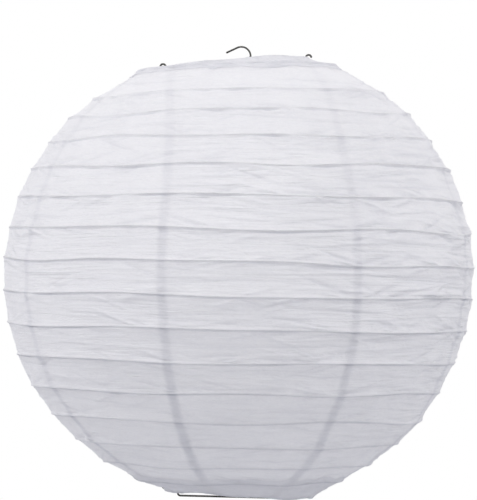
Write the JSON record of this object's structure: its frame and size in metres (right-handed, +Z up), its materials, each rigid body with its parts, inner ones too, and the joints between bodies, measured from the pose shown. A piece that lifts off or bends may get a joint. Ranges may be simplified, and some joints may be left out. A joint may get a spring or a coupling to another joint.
{
  "type": "accordion paper lantern",
  "caption": "Round folding paper lantern shade on parallel wire ribs, held open by a bent-wire expander and hung from a wire hook.",
  "frame": {"origin": "the underside of the hook's bend, where it bears on whatever holds the lantern", "axes": "+Z up, along the lantern's centre line. The hook and the expander's two legs lie in the XZ plane, with the hook's tip towards -X"},
  "size_m": [0.762, 0.762, 0.7315],
  "materials": {
    "paper": "matt translucent white paper, lightly crinkled",
    "rib_wire": "thin bright steel wire",
    "frame_wire": "drawn steel wire, dark grey"
  },
  "bodies": {
    "hook": {"hanging_hook": "frame_wire"},
    "expander": {"expander_frame": "frame_wire", "spreader_bar": "frame_wire", "top_ring": "frame_wire", "paper_band_01": "paper"},
    "rib_01": {"rib_01": "rib_wire", "paper_band_02": "paper"},
    "rib_02": {"rib_02": "rib_wire", "paper_band_03": "paper"},
    "rib_03": {"rib_03": "rib_wire", "paper_band_04": "paper"},
    "rib_04": {"rib_04": "rib_wire", "paper_band_05": "paper"},
    "rib_05": {"rib_05": "rib_wire", "paper_band_06": "paper"},
    "rib_06": {"rib_06": "rib_wire", "paper_band_07": "paper"},
    "rib_07": {"rib_07": "rib_wire", "paper_band_08": "paper"},
    "rib_08": {"rib_08": "rib_wire", "paper_band_09": "paper"},
    "rib_09": {"rib_09": "rib_wire", "paper_band_10": "paper"},
    "rib_10": {"rib_10": "rib_wire", "paper_band_11": "paper"},
    "rib_11": {"rib_11": "rib_wire", "paper_band_12": "paper"},
    "rib_12": {"rib_12": "rib_wire", "paper_band_13": "paper"},
    "rib_13": {"rib_13": "rib_wire", "paper_band_14": "paper"},
    "rib_14": {"rib_14": "rib_wire", "paper_band_15": "paper"},
    "rib_15": {"rib_15": "rib_wire", "paper_band_16": "paper"},
    "rib_16": {"rib_16": "rib_wire", "paper_band_17": "paper"},
    "bottom_ring": {"bottom_ring": "frame_wire"}
  },
  "joints": [
    {"name": "hook_swing", "type": "hinge", "parent": "hook", "child": "expander", "pos_m": [0, 0, -0.0384], "axis": [1, 0, 0], "range_deg": [-75, 75]},
    {"name": "fold_01", "type": "slide", "parent": "expander", "child": "rib_01", "axis": [0, 0, 1], "range_m": [0, 0.00646], "deforming": ["paper_band_01"]},
    {"name": "fold_02", "type": "slide", "parent": "rib_01", "child": "rib_02", "axis": [0, 0, 1], "range_m": [0, 0.04237], "deforming": ["paper_band_02"]},
    {"name": "fold_03", "type": "slide", "parent": "rib_02", "child": "rib_03", "axis": [0, 0, 1], "range_m": [0, 0.03214], "deforming": ["paper_band_03"]},
    {"name": "fold_04", "type": "slide", "parent": "rib_03", "child": "rib_04", "axis": [0, 0, 1], "range_m": [0, 0.03771], "deforming": ["paper_band_04"]},
    {"name": "fold_05", "type": "slide", "parent": "rib_04", "child": "rib_05", "axis": [0, 0, 1], "range_m": [0, 0.0421], "deforming": ["paper_band_05"]},
    {"name": "fold_06", "type": "slide", "parent": "rib_05", "child": "rib_06", "axis": [0, 0, 1], "range_m": [0, 0.04526], "deforming": ["paper_band_06"]},
    {"name": "fold_07", "type": "slide", "parent": "rib_06", "child": "rib_07", "axis": [0, 0, 1], "range_m": [0, 0.04722], "deforming": ["paper_band_07"]},
    {"name": "fold_08", "type": "slide", "parent": "rib_07", "child": "rib_08", "axis": [0, 0, 1], "range_m": [0, 0.04802], "deforming": ["paper_band_08"]},
    {"name": "fold_09", "type": "slide", "parent": "rib_08", "child": "rib_09", "axis": [0, 0, 1], "range_m": [0, 0.04793], "deforming": ["paper_band_09"]},
    {"name": "fold_10", "type": "slide", "parent": "rib_09", "child": "rib_10", "axis": [0, 0, 1], "range_m": [0, 0.04802], "deforming": ["paper_band_10"]},
    {"name": "fold_11", "type": "slide", "parent": "rib_10", "child": "rib_11", "axis": [0, 0, 1], "range_m": [0, 0.04722], "deforming": ["paper_band_11"]},
    {"name": "fold_12", "type": "slide", "parent": "rib_11", "child": "rib_12", "axis": [0, 0, 1], "range_m": [0, 0.04526], "deforming": ["paper_band_12"]},
    {"name": "fold_13", "type": "slide", "parent": "rib_12", "child": "rib_13", "axis": [0, 0, 1], "range_m": [0, 0.0421], "deforming": ["paper_band_13"]},
    {"name": "fold_14", "type": "slide", "parent": "rib_13", "child": "rib_14", "axis": [0, 0, 1], "range_m": [0, 0.03771], "deforming": ["paper_band_14"]},
    {"name": "fold_15", "type": "slide", "parent": "rib_14", "child": "rib_15", "axis": [0, 0, 1], "range_m": [0, 0.03214], "deforming": ["paper_band_15"]},
    {"name": "fold_16", "type": "slide", "parent": "rib_15", "child": "rib_16", "axis": [0, 0, 1], "range_m": [0, 0.02545], "deforming": ["paper_band_16"]},
    {"name": "fold_17", "type": "slide", "parent": "rib_16", "child": "bottom_ring", "axis": [0, 0, 1], "range_m": [0, 0.02338], "deforming": ["paper_band_17"]}
  ],
  "couplings": [
    {"joint": "fold_01", "follows": "fold_09", "ratio": 0.13471},
    {"joint": "fold_02", "follows": "fold_09", "ratio": 0.88401},
    {"joint": "fold_03", "follows": "fold_09", "ratio": 0.67066},
    {"joint": "fold_04", "follows": "fold_09", "ratio": 0.78694},
    {"joint": "fold_05", "follows": "fold_09", "ratio": 0.87835},
    {"joint": "fold_06", "follows": "fold_09", "ratio": 0.94441},
    {"joint": "fold_07", "follows": "fold_09", "ratio": 0.98529},
    {"joint": "fold_08", "follows": "fold_09", "ratio": 1.0019},
    {"joint": "fold_10", "follows": "fold_09", "ratio": 1.0019},
    {"joint": "fold_11", "follows": "fold_09", "ratio": 0.98529},
    {"joint": "fold_12", "follows": "fold_09", "ratio": 0.94441},
    {"joint": "fold_13", "follows": "fold_09", "ratio": 0.87835},
    {"joint": "fold_14", "follows": "fold_09", "ratio": 0.78694},
    {"joint": "fold_15", "follows": "fold_09", "ratio": 0.67066},
    {"joint": "fold_16", "follows": "fold_09", "ratio": 0.53096},
    {"joint": "fold_17", "follows": "fold_09", "ratio": 0.48775}
  ]
}
